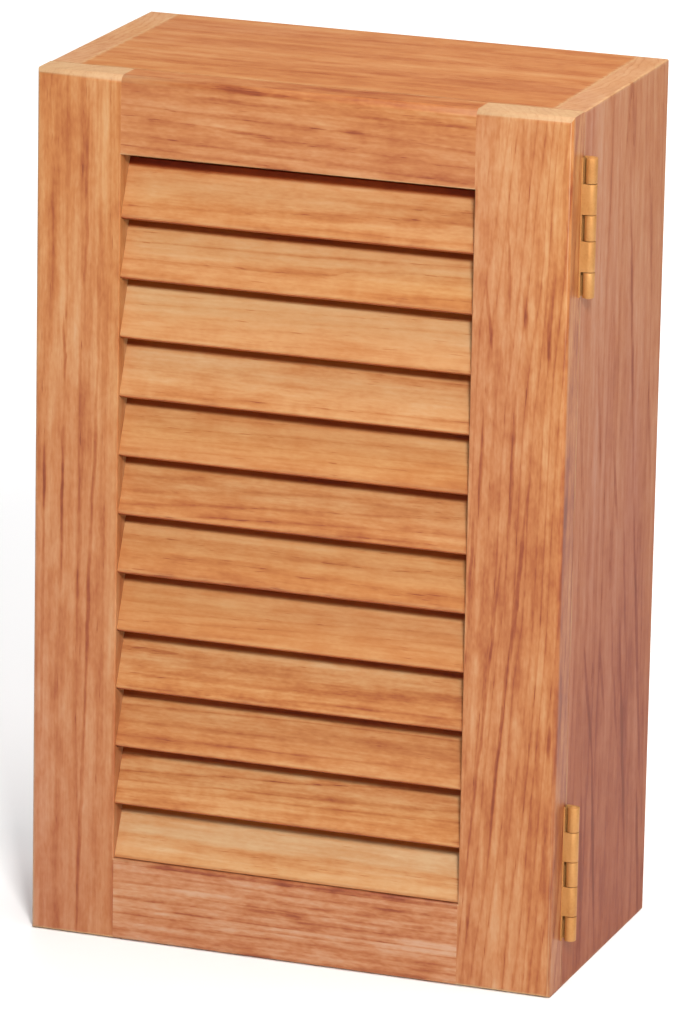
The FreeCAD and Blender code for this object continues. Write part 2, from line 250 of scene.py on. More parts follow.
def blend_colours(tree, share, first, second, way="MIX"):
    """A share of the second colour over the first."""
    sources = {0: share, 6: first, 7: second}
    return new_node(
        tree, "ShaderNodeMix", sources, data_type="RGBA", blend_type=way, clamp_factor=True,
    ).outputs[2]


def tinted(tree, share, colour, tint):
    """A colour, with a share of it seen through a tint."""
    return blend_colours(tree, share, colour, blend_colours(tree, 1.0, colour, tint, "MULTIPLY"))


def add_bump(tree, shader, height, strength, distance):
    """Raises and sinks the surface by a height, in the shader alone."""
    bump = new_node(tree, "ShaderNodeBump", {"Strength": strength, "Distance": distance, "Height": height})
    feed(tree, shader["Normal"], bump.outputs["Normal"])


def paint(red, green, blue):
    """Linear colour from the 0-255 values of a paint chart."""
    return tuple(((c / 255 + 0.055) / 1.055) ** 2.4 for c in (red, green, blue))


teak_tones = [
    (0.00, paint(106, 46, 22)),
    (0.18, paint(139, 69, 36)),
    (0.36, paint(162, 95, 49)),
    (0.52, paint(177, 115, 65)),
    (0.70, paint(188, 135, 86)),
    (1.00, paint(197, 159, 116)),
]
end_grain_tones = [
    (0.0, paint(166, 128, 90)),
    (0.45, paint(184, 150, 111)),
    (1.0, paint(192, 163, 125)),
]
ring_greys = ((0.0, 0), (0.07, 0.3), (0.22, 0.92), (0.5, 1), (0.82, 0.66), (1.0, 0))
rosy_tint = (*paint(228, 210, 252), 1)
golden_tint = (*paint(255, 250, 226), 1)
rubbed_tone = (*paint(193, 160, 116), 1)
# painted shade: this tint darkens the slats' undersides, the slot under each slat and other crevices where
# shade falls
painted_shade_tint = (*paint(206, 134, 56), 1)
usual_tone = 0.55
ring_ripple = 0.0006
ring_unevenness = 0.55
ring_middle = 0.68
ring_depth = 0.26
pore_crowding = 0.45
pore_limits = (0.60, 1.05)
pore_depth = 0.26
darkest_tone = 0.09
rubbed_share = 0.45


def make_teak():
    """The timber as a node group. Place is in metres: X with the grain, Y across the face."""
    tree, given = open_tree("teak", "ShaderNodeTree", (
        ("Place", "Vector", (0, 0, 0)),
        ("End Grain", "Float", 0.0),
        ("Worn", "Float", 0.0),
        ("Painted Shade", "Float", 0.0),
        ("Pale", "Float", 0.0),
        ("Rosy", "Float", 0.0),
        ("Ring Width", "Float", 0.004),
        ("Ring Strength", "Float", 1.0),
        ("Heart Across", "Float", 0.0),
        ("Heart Deep", "Float", 0.05),
        ("Slant", "Float", 0.0),
        ("Wander", "Float", 0.004),
        ("Stain And Shade", "Float", 0.0),
        ("Streaks", "Float", 1.0),
    ), (("Colour", "Color"), ("Roughness", "Float"), ("Height", "Float")))
    place = given["Place"]

    # growth rings round the heart line, which the slant carries through the board
    parts = each_axis(tree, place)
    across = reckon(tree, "SUBTRACT", parts[1], given["Heart Across"])
    across = reckon(tree, "MULTIPLY_ADD", fibres(tree, place, 3.5, 9), given["Wander"], across)
    deep = reckon(tree, "SUBTRACT", parts[2], given["Heart Deep"])
    squares = reckon(tree, "ADD", reckon(tree, "POWER", across, 2), reckon(tree, "POWER", deep, 2))
    radius = reckon(tree, "MULTIPLY_ADD", parts[0], given["Slant"], reckon(tree, "SQRT", squares))
    radius = reckon(tree, "MULTIPLY_ADD", fibres(tree, place, 16, 60, 2), ring_ripple, radius)
    years = reckon(tree, "DIVIDE", radius, given["Ring Width"])
    years = reckon(tree, "MULTIPLY_ADD", fibres(tree, place, 1.5, 75), ring_unevenness, years)
    each_year = new_node(
        tree, "ShaderNodeTexWhiteNoise", {"W": reckon(tree, "FLOOR", years)}, noise_dimensions="1D",
    )
    hardness = reckon(tree, "MULTIPLY_ADD", each_year.outputs["Value"], 1.1, 0.35)
    ring_stops = [(stop, (grey, grey, grey)) for stop, grey in ring_greys]
    ring_tone = tone_ramp(tree, reckon(tree, "FRACT", years), ring_stops)
    ring_line = reckon(tree, "MULTIPLY", reckon(tree, "SUBTRACT", ring_tone, ring_middle), hardness)

    # tone of the fibres: bands, threads, hairs, flecks, mottle and clouds, each with its share
    drift = fibres(tree, place, 2.5, 38)
    bands = fibres(tree, place, 16, 230, 2)
    threads = fibres(tree, place, 22, 700, 2)
    fibre_tone = 0.0
    for field, share in (
        (bands, 0.15),
        (threads, 0.055),
        (fibres(tree, place, 60, 1900), 0.01),
        (fibres(tree, place, 260, 800), 0.06),
        (fibres(tree, place, 65, 150, 2), 0.12),
        (fibres(tree, place, 11, 50), 0.08),
    ):
        fibre_tone = reckon(tree, "MULTIPLY_ADD", field, share, fibre_tone)
    tone = reckon(tree, "MULTIPLY_ADD", drift, 0.10, usual_tone)
    tone = reckon(tree, "ADD", tone, given["Pale"])
    tone = reckon(tree, "MULTIPLY_ADD", fibre_tone, given["Streaks"], tone)
    ring_share = reckon(tree, "MULTIPLY", ring_line, ring_depth)
    tone = reckon(tree, "MULTIPLY_ADD", ring_share, given["Ring Strength"], tone)

    # open pores: short dark dashes, thicker where a ring begins
    crowd = reckon(tree, "MULTIPLY_ADD", ring_line, -pore_crowding, fibres(tree, place, 80, 1300))
    pores = fade(tree, crowd, *pore_limits)
    tone = reckon(tree, "MULTIPLY_ADD", pores, -pore_depth, tone)
    # this input darkens the tone for real dark streaks, and also for painted shade in the slots, crevices and
    # some arrises
    tone = reckon(tree, "MAXIMUM", reckon(tree, "SUBTRACT", tone, given["Stain And Shade"]), darkest_tone)
    colour = tone_ramp(tree, tone, teak_tones)

    # broad drift between rosy and golden wood; the darkest streaks stay brown
    hue = fibres(tree, place, 2.2, 24)
    rosy_share = reckon(tree, "ADD", fade(tree, hue, -0.1, 2.2), given["Rosy"], clamp=True)
    rosy_share = reckon(tree, "MULTIPLY", rosy_share, fade(tree, tone, -0.05, 0.32))
    colour = tinted(tree, rosy_share, colour, rosy_tint)
    colour = tinted(tree, fade(tree, hue, 0.1, -1.2), colour, golden_tint)

    # end grain is pale and dotted, rubbed arrises are a little paler, and painted shade darkens crevices and
    # undersides
    end_tone = reckon(tree, "MULTIPLY_ADD", ring_line, 0.22, speckle(tree, place, 60, 900, 2))
    end_tone = reckon(tree, "MULTIPLY_ADD", drift, 0.10, end_tone)
    colour = blend_colours(tree, given["End Grain"], colour, tone_ramp(tree, end_tone, end_grain_tones))
    scuffs = fade(tree, fibres(tree, place, 40, 260, 2), -0.9, 0.7)
    rubbed = reckon(tree, "MULTIPLY", given["Worn"], scuffs)
    colour = blend_colours(tree, reckon(tree, "MULTIPLY", rubbed, rubbed_share), colour, rubbed_tone)
    colour = tinted(tree, given["Painted Shade"], colour, painted_shade_tint)

    # pores and end grain are rougher, rubbed arrises smoother
    rough = 0.50
    for field, share in ((pores, 0.18), (threads, 0.04), (given["End Grain"], 0.16), (rubbed, -0.08)):
        rough = reckon(tree, "MULTIPLY_ADD", field, share, rough)
    height = reckon(tree, "MULTIPLY_ADD", pores, -0.8, reckon(tree, "MULTIPLY", threads, 0.25))
    height = reckon(tree, "MULTIPLY_ADD", bands, 0.25, height)
    new_node(tree, "NodeGroupOutput", {"Colour": colour, "Roughness": rough, "Height": height})
    return tree


teak = make_teak()
oiled_gloss = 0.35
wood_bump = (0.35, 0.0003)
streak_wander = 0.0008
streak_edge = 1.6
streak_breaks = (0.3, 0.85)


def arris_wear(tree, low, high, reach):
    """1 at the arrises of the box from low to high, 0 further in than reach."""
    parts = each_axis(tree, place_on_piece(tree))
    inside = []
    for axis in range(3):
        from_low = reckon(tree, "SUBTRACT", parts[axis], low[axis])
        from_high = reckon(tree, "SUBTRACT", high[axis], parts[axis])
        inside.append(reckon(tree, "MINIMUM", from_low, from_high))
    nearest = reckon(tree, "MINIMUM", inside[0], inside[1])
    farther = reckon(tree, "MAXIMUM", inside[0], inside[1])
    second = reckon(tree, "MAXIMUM", nearest, reckon(tree, "MINIMUM", farther, inside[2]))
    return fade(tree, second, reach, 0.0)


def streaked(tree, along, across, streaks):
    """Streaks in a board, which wander with the grain and thin out towards their ends.

    Each is where it starts along and across the grain, where it ends, half its width, all in
    millimetres, and how much darker it is, or paler if that is below 0.
    """
    here = place_on_piece(tree)
    wandering = reckon(tree, "MULTIPLY_ADD", fibres(tree, here, 45, 45, 2), streak_wander, across)
    total = 0.0
    for start, start_across, end, end_across, half_width, depth in streaks:
        part_way = new_node(tree, "ShaderNodeMapRange", {
            "Value": along,
            "From Min": start / 1000,
            "From Max": end / 1000,
            "To Min": -1,
            "To Max": 1,
        }, clamp=False).outputs["Result"]
        lean = (end_across - start_across) / 2000
        line = reckon(tree, "MULTIPLY_ADD", part_way, lean, (start_across + end_across) / 2000)
        aside = reckon(tree, "MULTIPLY", reckon(tree, "SUBTRACT", wandering, line), 1000 / half_width)
        outside = reckon(tree, "ADD", reckon(tree, "POWER", part_way, 2), reckon(tree, "POWER", aside, 2))
        total = reckon(tree, "MULTIPLY_ADD", fade(tree, outside, streak_edge, 0.0), depth, total)
    broken = reckon(tree, "MULTIPLY_ADD", fibres(tree, here, 120, 120, 2), *streak_breaks)
    return reckon(tree, "MULTIPLY", total, broken)


def end_grain(tree, facing):
    """1 where a surface looks along the grain, by that part of its normal."""
    return fade(tree, reckon(tree, "ABSOLUTE", facing), 0.12, 0.5)


def finish_wood(tree, shader, timber, gloss=oiled_gloss):
    """Joins the timber group to the shader, under a thin rubbed coat of oil."""
    feed(tree, shader["Base Color"], timber.outputs["Colour"])
    feed(tree, shader["Roughness"], timber.outputs["Roughness"])
    shader["Specular IOR Level"].default_value = gloss
    add_bump(tree, shader, timber.outputs["Height"], *wood_bump)


def teak_board(name, grain, offset, low, high, wear_reach=0.0022, end_share=1.0,
               foot_pale=0.0, foot_rosy=0.0, streaks_at=(), streaks_across=None,
               gloss=oiled_gloss, **cut):
    """Teak for one board, with the grain along one axis. offset is where in the log it was cut."""
    material, tree, shader = new_finish(name)
    across = 2 if grain == 0 else 0
    deep = 3 - grain - across
    coordinates = new_node(tree, "ShaderNodeTexCoord").outputs
    parts = each_axis(tree, coordinates["Object"])
    turned = vector_of(tree, parts[grain], parts[across], parts[deep])
    in_log = new_node(tree, "ShaderNodeVectorMath", {0: turned, 1: offset}, operation="ADD").outputs[0]
    at_end = end_grain(tree, each_axis(tree, coordinates["Normal"])[grain])
    timber = new_node(tree, "ShaderNodeGroup", node_tree=teak)
    sources = {
        "Place": in_log,
        "End Grain": reckon(tree, "MULTIPLY", at_end, end_share),
        "Worn": arris_wear(tree, low, high, wear_reach),
    }
    for socket, value in cut.items():
        sources[socket.replace("_", " ").title()] = value
    if streaks_at:
        sideways = parts[across if streaks_across is None else streaks_across]
        sources["Stain And Shade"] = streaked(tree, parts[grain], sideways, streaks_at)
    if foot_pale or foot_rosy:
        foot = fade(tree, parts[grain], high[grain], low[grain])
        sources["Pale"] = reckon(tree, "MULTIPLY_ADD", foot, foot_pale, cut.get("pale", 0.0))
        sources["Rosy"] = reckon(tree, "MULTIPLY_ADD", foot, foot_rosy, cut.get("rosy", 0.0))
    for socket, source in sources.items():
        feed(tree, timber.inputs[socket], source)
    finish_wood(tree, shader, timber, gloss)
    return material


weld_reach = 0.000002
chamfer_from = math.radians(50)


def dress(node, material, ease=0.0):
    """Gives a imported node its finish, and eases its arrises with a fine chamfer."""
    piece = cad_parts[node]
    piece.data.materials.clear()
    piece.data.materials.append(material)
    if ease:
        weld = piece.modifiers.new("weld", "WELD")
        weld.merge_threshold = weld_reach
        chamfer = piece.modifiers.new("chamfer", "BEVEL")
        chamfer.width = ease
        chamfer.segments = 2
        chamfer.limit_method = "ANGLE"
        chamfer.angle_limit = chamfer_from
        chamfer.harden_normals = True


case_ease = 0.0004

# each streak: from, across there, to, across there, half width, depth
hinge_side_streaks = (
    (430, -10, 325, -4, 2.2, 0.16),
    (410, 8, 360, 14, 1.8, 0.16),
    (375, 13, 235, 29, 2.2, 0.32),
    (402, 40, 332, 50, 2.4, 0.20),
    (328, -36, 254, -26, 2.2, 0.22),
    (298, -62, 217, -49, 2.2, 0.18),
    (292, 49, 230, 58, 2.2, 0.22),
    (263, -5, 222, 4, 2.2, 0.30),
    (226, 14, 158, 23, 2.0, 0.26),
    (226, 31, 78, 54, 2.4, 0.36),
    (188, -2, 142, 3, 2.0, 0.26),
    (173, -45, 111, -28, 2.0, 0.28),
    (172, 12, 36, 33, 2.2, 0.34),
    (161, -18, 129, -10, 2.2, 0.26),
    (146, 5, 110, 12, 1.8, 0.22),
    (122, -29, 8, -15, 2.0, 0.36),
    # painted shadow of the lower hinge on the side board
    (100, -43, 12, -38, 2.4, 0.30),
    (70, 50, -8, 60, 2.4, 0.34),
)
for node, offset, streaks_at in (
    ("left_side_board", (0.31, 0.9, 0.2), ()),
    ("right_side_board", (1.7, 0.25, 1.1), hinge_side_streaks),
):
    low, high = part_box(node)
    middle = (low[0] + high[0]) / 2
    # painted shade: the side boards are painted darker and more mauve towards the foot, where they fall into
    # shade
    dress(node, teak_board(
        "teak_of_" + node, 2, offset, low, high,
        rosy=0.5, pale=0.08, ring_width=0.0036, ring_strength=0.7,
        heart_across=offset[1] + middle - 0.2, heart_deep=offset[2] + 0.02, slant=0.012, wander=0.0015,
        streaks=0.85, foot_pale=-0.23, foot_rosy=0.6, end_share=0.4,
        streaks_at=streaks_at, streaks_across=1, gloss=0.1,
    ), case_ease)


# ---- Top and bottom boards ----------------------------------------------------------------
# Teak boards set between the sides on dowels, grain from side to side. Both were sawn with
# broad rings, and their figure is faint.

for node, offset in (("top_board", (0.4, 2.3, 0.7)), ("bottom_board", (1.1, 3.1, 0.4))):
    low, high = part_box(node)
    dress(node, teak_board(
        "teak_of_" + node, 0, offset, low, high,
        rosy=0.08, pale=-0.04, ring_width=0.011, ring_strength=0.35,
        heart_across=offset[1] + low[2] - 0.3, heart_deep=offset[2] + 0.03, slant=0.02, streaks=0.8,
    ), case_ease)


# ---- Back panel and mounting rails --------------------------------------------------------
# A 6 mm panel of teak-faced plywood lies in a rebate, and two teak rails inside it take the
# four hanging screws.

panel_ease = 0.0002

low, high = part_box("back_panel")
dress("back_panel", teak_board(
    "teak_ply", 2, (0.6, 1.4, 0.3), low, high,
    rosy=0.3, pale=-0.02, ring_width=0.02, ring_strength=0.8, heart_across=1.4, heart_deep=0.32,
    slant=0.05, streaks=0.8, wear_reach=0.001,
), panel_ease)
for node in ("lower_mounting_rail", "upper_mounting_rail"):
    low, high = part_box(node)
    dress(node, teak_board(
        "teak_of_" + node, 0, (low[2] * 3, 1.9, 0.8), low, high,
        rosy=0.2, ring_width=0.009, heart_across=1.7, heart_deep=0.9, slant=0.01,
    ), case_ease)


# ---- Dowels -------------------------------------------------------------------------------
# Turned beech dowels hold the carcass together. They are glued into the ends of the top and
# bottom boards and into the sides, where they don't show.

beech_roughness = 0.62

beech, tree, shader = new_finish("dowel_beech")
place = place_on_piece(tree)
flecks = fibres(tree, place, 150, 1500, 2)
bands = fibres(tree, place, 12, 500, 2)
beech_tone = reckon(tree, "MULTIPLY_ADD", bands, 0.25, reckon(tree, "MULTIPLY_ADD", flecks, 0.2, 0.5))
feed(tree, shader["Base Color"], tone_ramp(tree, beech_tone, [
    (0.0, paint(186, 140, 100)),
    (0.5, paint(218, 180, 140)),
    (1.0, paint(236, 206, 170)),
]))
feed(tree, shader["Roughness"], reckon(tree, "MULTIPLY_ADD", flecks, 0.06, beech_roughness))
dress("carcass_dowels", beech)


# ---- Shelves ------------------------------------------------------------------------------
# Two teak shelves 10 mm thick, grain from side to side, with eased arrises. They lie loose on
# their pegs, and can be lifted out.

shelf_ease = 0.0006

for node, offset in (("lower_shelf", (0.2, 0.5, 1.9)), ("upper_shelf", (0.9, 1.2, 2.6))):
    low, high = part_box(node)
    dress(node, teak_board(
        "teak_of_" + node, 0, offset, low, high,
        rosy=0.2, pale=0.03, ring_width=0.009, ring_strength=0.8,
        heart_across=offset[1] + low[2] - 0.05, heart_deep=offset[2], slant=0.03,
    ), shelf_ease)


# ---- Shelf pegs ---------------------------------------------------------------------------
# Eight turned brass pegs with a flat tongue, pushed into the sides. All the brass here has a
# satin finish: brushed, and a little tarnished where fingers don't reach.

brass_tones = [
    (0.0, paint(140, 86, 42)),
    (0.45, paint(190, 136, 76)),
    (1.0, paint(216, 168, 108)),
]
brass_metallic = 0.55
brass_roughness = 0.62
brass_bump = (0.25, 0.00004)
peg_ease = 0.0002


def make_brass(name, brushing):
    """Brass brushed along one axis (0, 1 or 2)."""
    material, tree, shader = new_finish(name)
    parts = each_axis(tree, place_on_piece(tree))
    turned = vector_of(tree, *[parts[(brushing + step) % 3] for step in range(3)])
    scratches = fibres(tree, turned, 160, 5200, 2)
    clouds = fibres(tree, turned, 60, 110, 2)
    specks = fibres(tree, turned, 900, 900, 2)
    tarnish = reckon(tree, "MULTIPLY_ADD", specks, 0.08, reckon(tree, "MULTIPLY_ADD", clouds, 0.16, 0.5))
    rough = reckon(tree, "MULTIPLY_ADD", scratches, 0.05, brass_roughness)
    rough = reckon(tree, "MULTIPLY_ADD", clouds, -0.06, rough)
    feed(tree, shader["Base Color"], tone_ramp(tree, tarnish, brass_tones))
    feed(tree, shader["Roughness"], rough)
    shader["Metallic"].default_value = brass_metallic
    add_bump(tree, shader, reckon(tree, "MULTIPLY_ADD", specks, 0.6, scratches), *brass_bump)
    return material


dress("shelf_pegs", make_brass("peg_brass", 0), peg_ease)


# ---- Door stiles --------------------------------------------------------------------------
# Two uprights of teak 18 mm thick, grain upright, mortised for the rails and housed for the
# slats. Their upper ends are rounded over with the door's top edge and show end grain. The
# arrises round the opening aren't rubbed. Each stile has its own dark streaks.

joint_ease = 0.00025
past_the_edge = 1.0
closing_stile_streaks = (
    (447, -112, 322, -113.3, 0.9, 0.22),
    (441, -105, 290, -106, 1.3, 0.16),
    (302, -106, 222, -108.3, 1.1, 0.28),
    (244, -108.4, 108, -111.7, 1.1, 0.28),
    (136, -111.2, -6, -115.3, 1.1, 0.28),
    (273, -114.3, 150, -116, 1.2, 0.16),
    (324, -124.4, 290, -124.2, 0.8, 0.32),
    (266, -124.8, 188, -124.8, 0.9, 0.32),
    (258, -134.5, 224, -134.5, 0.9, 0.40),
    (225, -134.5, 100, -135.3, 1.0, 0.18),
    (440, -98.5, 10, -98.5, 2.8, -0.10),
    (300, -117, 150, -117, 26.0, 0.09),
)
low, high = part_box("left_stile")
high = Vector(high) + Vector((past_the_edge, 0, 0))
dress("left_stile", teak_board(
    "teak_of_left_stile", 2, (0.83, 0.52, 0.44), low, high,
    rosy=0.10, pale=-0.01, ring_width=0.009, ring_strength=0.85, heart_across=0.563, heart_deep=0.24,
    slant=0.004, streaks=1.1, foot_pale=0.08, foot_rosy=0.5, end_share=0.75,
    streaks_at=closing_stile_streaks,
), joint_ease)
hinge_stile_streaks = (
    (395, 108.7, 345, 110, 0.8, 0.24),
    (366, 131.5, 321, 131, 1.4, 0.28),
    (364, 117.5, 338, 119, 1.3, 0.26),
    (364, 98, 331, 101.5, 1.0, 0.28),
    (306, 115, 219, 111.5, 1.1, 0.20),
    (293, 97.8, 249, 96.8, 1.2, 0.28),
    (251, 94.3, 193, 92.5, 1.0, 0.28),
    (258, 121.7, 152, 113, 1.2, 0.30),
    (180, 114, 67, 105.6, 1.0, 0.30),
    (236, 109.8, 67, 95, 0.9, 0.28),
    (143, 136.4, 123, 136, 1.2, 0.32),
    (57, 96.3, 28, 96, 1.2, 0.26),
    (75, 118, 10, 120, 10.0, -0.06),
    (450, 98, 390, 98, 8.0, -0.09),
    (480, 115, 330, 115, 26.0, -0.08),
    (310, 115, 150, 115, 26.0, 0.07),
    # painted shade along the outer arris, so its rounding doesn't show lit
    (600, 139.4, -150, 139.4, 1.4, 0.16),
)
low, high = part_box("right_stile")
low = Vector(low) - Vector((past_the_edge, 0, 0))
high = Vector(high) + Vector((past_the_edge, 0, 0))
dress("right_stile", teak_board(
    "teak_of_right_stile", 2, (2.31, 0.87, 0.15), low, high,
    rosy=0.1, pale=-0.05, ring_width=0.0044, ring_strength=0.75, heart_across=0.885, heart_deep=0.02,
    slant=-0.07, wander=0.010, streaks=1.25, foot_pale=0.04, foot_rosy=0.3, end_share=0.75,
    streaks_at=hinge_stile_streaks,
), joint_ease)


# ---- Door rails ---------------------------------------------------------------------------
# The top and bottom rails are tenoned into the stiles, grain from side to side. Only their
# lower arrises are rubbed. Painted shade runs along the top of the bottom rail, under the
# lowest slat, and along the top arris of the top rail.

top_rail_streaks = (
    # painted shade along the top arris, so its rounding doesn't show lit
    (-120, 448.6, 115, 448.6, 2.2, 0.12),
    (-41, 448, 7, 446, 1.0, 0.22),
    (-62, 443, -3, 441.4, 1.1, 0.20),
    (-51, 428.6, -15, 426.4, 1.0, 0.26),
    (19, 433, 32, 433, 1.0, 0.20),
    (20, 441, 85, 440, 1.0, 0.17),
)
bottom_rail_streaks = (
    # painted shade in the crevice under the lowest slat
    (-320, 43, 320, 43, 2.4, 0.46),
    (-32, 32.4, 15, 32.7, 1.1, 0.24),
    (45, 34.9, 64, 34.9, 0.9, 0.20),
    (-61, 26, -40, 26, 1.0, 0.24),
    (-32, 25.6, 9, 25.6, 1.0, 0.30),
    (28, 26.4, 53, 26.4, 1.0, 0.24),
    (58, 28.1, 84, 29.3, 0.9, 0.24),
    (-34, 15.7, 53, 15.7, 0.9, 0.18),
)
for node, offset, cut in (
    ("top_rail", (0.15, 0.64, 0.93), {
        "rosy": 0.2, "pale": -0.02, "slant": -0.05, "streaks": 1.15,
        "ring_width": 0.007, "ring_strength": 0.45, "streaks_at": top_rail_streaks,
    }),
    ("bottom_rail", (1.52, 1.17, 0.28), {
        "rosy": 0.5, "pale": 0.08, "slant": 0.004, "streaks": 1.9,
        "ring_width": 0.0044, "ring_strength": 1.1, "streaks_at": bottom_rail_streaks,
    }),
):
    low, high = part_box(node)
    low = Vector(low) - Vector((past_the_edge, 0, 0))
    high = Vector(high) + Vector((past_the_edge, 0, past_the_edge))
    dress(node, teak_board(
        "teak_of_" + node, 0, offset, low, high, wear_reach=0.0012,
        heart_across=offset[1] + low[2] + 0.12, heart_deep=offset[2] - 0.1, **cut,
    ), joint_ease)


# ---- Louvre slats -------------------------------------------------------------------------
# Twelve thin teak slats, planed with rounded edges and let into the stiles, lean back under
# one another. They are sawn from paler boards than the frame. The top one is a hair wider,
# to close up under the rail, and the lowest one is cut level, just above the bottom rail.

slat_count = 12
slat_thickness = 0.005
slat_edge_round = 0.0008
slat_front_recess = 0.0014
slat_back_recess = 0.0004
slat_rail_gap = 0.0004
slat_set_down = 0.0016
slat_drop = 0.0044
top_slat_lap = 0.0008
slat_waver = 0.0003
slat_paleness = (0.05, 0.08, 0.20, 0.12, 0.04, -0.03, 0.05, 0.05, 0.02, -0.03, 0.02, 0.27)
slat_figure = (0.7, 0.6, 0.45, 0.7, 0.45, 0.75, 0.5, 0.35, 1.1, 0.9, 1.1, 0.8)

stile_low, stile_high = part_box("left_stile")
opening_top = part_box("top_rail")[0][2]
opening_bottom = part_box("bottom_rail")[1][2]
slat_foot = opening_bottom + slat_rail_gap
slat_pitch = (opening_top - slat_foot) / slat_count
slat_run = stile_high[1] - stile_low[1] - slat_front_recess - slat_back_recess
slat_rise = slat_pitch - slat_drop
slat_width = math.sqrt(slat_run ** 2 + slat_rise ** 2 - slat_thickness ** 2)
slat_lean = math.atan2(slat_run, slat_rise) - math.atan2(slat_thickness, slat_width)
slat_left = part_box("louvre_slat_01")[0][0]
slat_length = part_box("louvre_slat_01")[1][0] - slat_left
visible_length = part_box("right_stile")[0][0] - slat_left


sharp_from = math.radians(40)


def points_piece(name, places, marks):
    """A piece that starts as bare points, each with its marks for the tree to read."""
    mesh = bpy.data.meshes.new(name)
    mesh.from_pydata(places, [], [])
    for mark, values in marks.items():
        mesh.attributes.new(mark, "FLOAT", "POINT").data.foreach_set("value", values)
    piece = bpy.data.objects.new(name, mesh)
    bpy.context.scene.collection.objects.link(piece)
    return piece


def run_nodes(piece, tree, values):
    """Runs a tree on a piece, and keeps the plain mesh that it makes."""
    modifier = piece.modifiers.new(tree.name, "NODES")
    modifier.node_group = tree
    for item in tree.interface.items_tree:
        if item.name in values:
            modifier[item.identifier] = values[item.name]
    made = piece.evaluated_get(bpy.context.evaluated_depsgraph_get())
    mesh = bpy.data.meshes.new_from_object(made)
    piece.modifiers.remove(modifier)
    piece.data = mesh
    mesh.name = piece.name
    mesh.shade_smooth()
    mesh.set_sharp_from_angle(angle=sharp_from)


def stand_on_points(tree, given, shape, turned):
    """A copy of the shape on each of the given points, turned, as real geometry."""
    stood = new_node(tree, "GeometryNodeInstanceOnPoints", {
        "Points": given["Points"],
        "Instance": shape,
        "Rotation": turned,
    })
    real = new_node(tree, "GeometryNodeRealizeInstances", {"Geometry": stood.outputs["Instances"]})
    return real.outputs["Geometry"]


def hand_over(tree, given, shape, label):
    """Gives the shape its finish, and hands it out of the tree."""
    finished = new_node(tree, "GeometryNodeSetMaterial", {"Geometry": shape, "Material": given["Finish"]})
    new_node(tree, "NodeGroupOutput", {label: finished.outputs["Geometry"]})


def moved(tree, shape, **sources):
    """The shape with its points at another Position, or shifted by an Offset."""
    return new_node(tree, "GeometryNodeSetPosition", {"Geometry": shape, **sources}).outputs["Geometry"]


def make_slat_tree():
    """A slat on each point: a rounded strip that leans back, cut off level at the foot."""
    tree, given = open_tree("louvre_slats", "GeometryNodeTree", (
        ("Points", "Geometry", None),
        ("Length", "Float", 0.2),
        ("Width", "Float", 0.03),
        ("Thickness", "Float", 0.005),
        ("Edge Round", "Float", 0.001),
        ("Lean", "Float", 0.4),
        ("Foot", "Float", 0.0),
        ("Top Slat", "Float", 0.0),
        ("Top Slat Lap", "Float", 0.0),
        ("Waver", "Float", 0.0),
        ("Finish", "Material", None),
    ), (("Slats", "Geometry"),))
    section = new_node(tree, "GeometryNodeCurvePrimitiveQuadrilateral", {
        "Width": given["Thickness"],
        "Height": given["Width"],
    })
    rounded = new_node(tree, "GeometryNodeFilletCurve", {
        "Curve": section.outputs["Curve"],
        "Count": 4,
        "Radius": given["Edge Round"],
    }, mode="POLY")
    line = new_node(tree, "GeometryNodeCurvePrimitiveLine", {
        "End": vector_of(tree, 0.0, 0.0, given["Length"]),
    })
    steps = new_node(tree, "GeometryNodeResampleCurve", {"Curve": line.outputs["Curve"], "Count": 49})
    strip = new_node(tree, "GeometryNodeCurveToMesh", {
        "Curve": steps.outputs["Curve"],
        "Profile Curve": rounded.outputs["Curve"],
        "Fill Caps": True,
    })
    half_thick = reckon(tree, "MULTIPLY", given["Thickness"], 0.5)
    half_wide = reckon(tree, "MULTIPLY", given["Width"], 0.5)
    upright = new_node(tree, "GeometryNodeTransform", {
        "Geometry": strip.outputs["Mesh"],
        "Translation": vector_of(tree, 0.0, half_thick, half_wide),
        "Rotation": (math.radians(90), 0, math.radians(90)),
    })
    here = new_node(tree, "GeometryNodeInputPosition").outputs["Position"]
    parts = each_axis(tree, here)

    # each slat remembers where in its own plank every point lies
    remembering = new_node(tree, "GeometryNodeStoreNamedAttribute", {
        "Geometry": upright.outputs["Geometry"],
        "Name": "plank_place",
        "Value": vector_of(tree, parts[0], parts[2], parts[1]),
    }, data_type="FLOAT_VECTOR", domain="POINT")
    lean = new_node(tree, "FunctionNodeEulerToRotation", {
        "Euler": vector_of(tree, reckon(tree, "MULTIPLY", given["Lean"], -1.0), 0.0, 0.0),
    })
    slats = stand_on_points(tree, given, remembering.outputs["Geometry"], lean.outputs["Rotation"])

    # the top slat is a little wider than the rest, so no light shows under the top rail
    at_top = reckon(tree, "GREATER_THAN", parts[2], given["Top Slat"])
    lap = reckon(tree, "MULTIPLY", at_top, given["Top Slat Lap"])
    back = reckon(tree, "MULTIPLY", lap, reckon(tree, "SINE", given["Lean"]))
    up = reckon(tree, "MULTIPLY", lap, reckon(tree, "COSINE", given["Lean"]))
    slats = moved(tree, slats, Offset=vector_of(tree, 0.0, back, up))

    # hand planing leaves the faces a hair out of true; the lowest slat is cut level at its foot
    planing = new_node(tree, "ShaderNodeTexNoise", {"Vector": here, "Scale": 60.0, "Detail": 1.0})
    out_of_true = reckon(tree, "SUBTRACT", planing.outputs["Fac"], 0.5)
    out_of_true = reckon(tree, "MULTIPLY", out_of_true, given["Waver"])
    slats = moved(tree, slats, Offset=vector_of(tree, 0.0, 0.0, out_of_true))
    above_foot = reckon(tree, "MAXIMUM", parts[2], given["Foot"])
    slats = moved(tree, slats, Position=vector_of(tree, parts[0], parts[1], above_foot))
    hand_over(tree, given, slats, "Slats")
    return tree


def mark_of(tree, mark):
    """A number that each slat carries."""
    return new_node(tree, "ShaderNodeAttribute", attribute_name=mark).outputs["Fac"]


